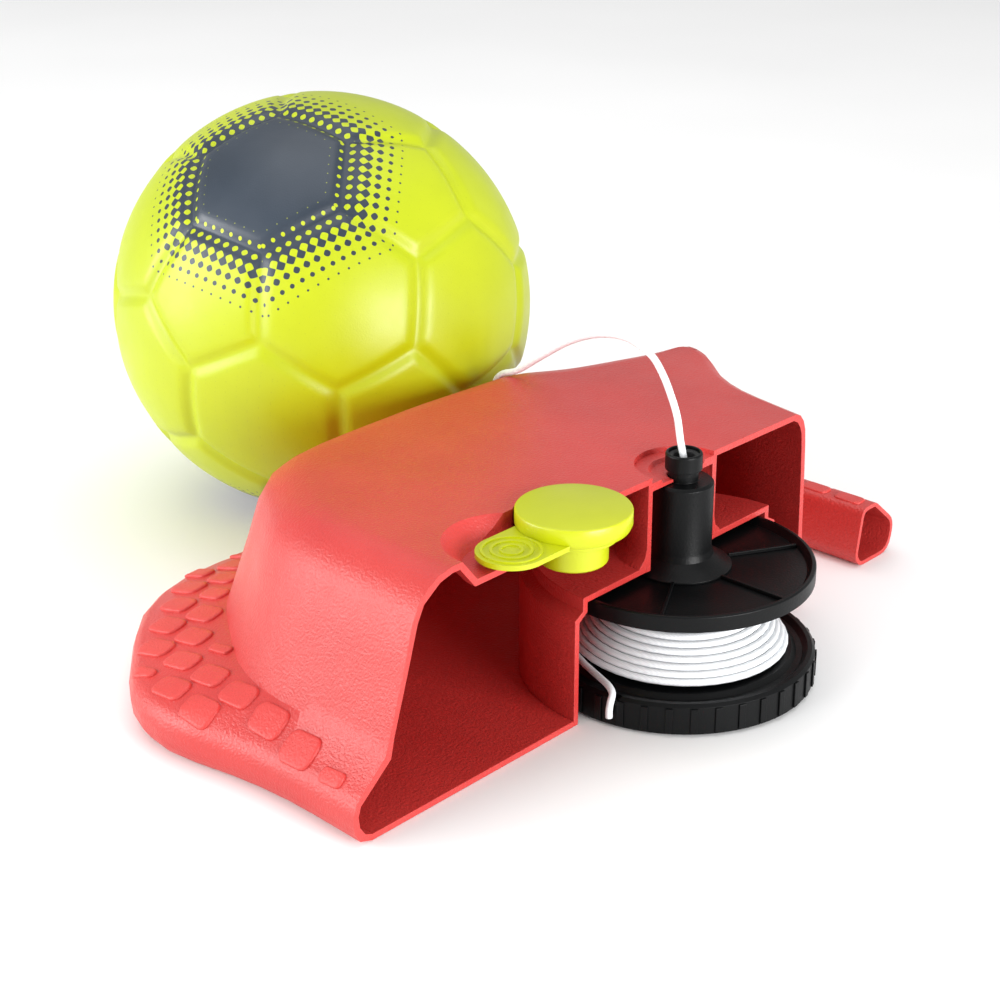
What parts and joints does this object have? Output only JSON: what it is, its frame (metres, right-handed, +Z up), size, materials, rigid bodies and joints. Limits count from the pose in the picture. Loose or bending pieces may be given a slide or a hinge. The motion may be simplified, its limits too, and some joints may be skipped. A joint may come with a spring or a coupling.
{
  "type": "tetherball trainer set",
  "caption": "Fillable tether base shown in half section, with a cord reel in a well below, a screwless filler cap with tab, and a panelled ball on a cord.",
  "frame": {"origin": "on the ground, at the centre of the set's footprint", "axes": "+Z up, +X along the cut face towards the carry handle, +Y from the cut face towards the ball"},
  "size_m": [0.3375, 0.3796, 0.188],
  "materials": {
    "red_plastic": "fine grain, satin",
    "black_plastic": "satin",
    "lime_plastic": "satin",
    "lime_cover": "satin",
    "dark_cover": "satin",
    "cord": "matt",
    "rubber": "matt"
  },
  "bodies": {
    "base": {"base_shell": "red_plastic", "base_floor": "red_plastic", "reel_well": "red_plastic", "spindle_sleeve": "red_plastic", "filler_recess": "red_plastic", "carry_handle": "red_plastic", "tether_cord": "cord"},
    "cap": {"filler_cap": "lime_plastic", "cap_plug": "lime_plastic", "cap_tab": "lime_plastic"},
    "reel": {"spindle": "black_plastic", "cord_bush": "black_plastic", "upper_disc": "black_plastic", "disc_ribs": "black_plastic", "winding_drum": "black_plastic", "winding_dish": "black_plastic", "dish_ribs": "black_plastic", "cord_coil": "cord", "cord_tail": "cord"},
    "ball": {"cord_knot": "cord", "tether_eye": "lime_cover", "hexagon_panels": "lime_cover", "pentagon_panels": "lime_cover", "dark_panels": "dark_cover", "ball_bladder": "rubber", "inflation_valve": "rubber"}
  },
  "joints": [
    {"name": "reel_turn", "type": "hinge", "parent": "base", "child": "reel", "pos_m": [0.013, -0.135, 0.05], "axis": [0, 0, 1], "continuous": true},
    {"name": "cap_lift", "type": "slide", "parent": "base", "child": "cap", "axis": [0, 0, 1], "range_m": [0, 0.03]},
    {"name": "ball_lift", "type": "slide", "parent": "base", "child": "ball", "axis": [0, 0, 1], "range_m": [0, 0.12], "deforming": ["tether_cord"]}
  ]
}
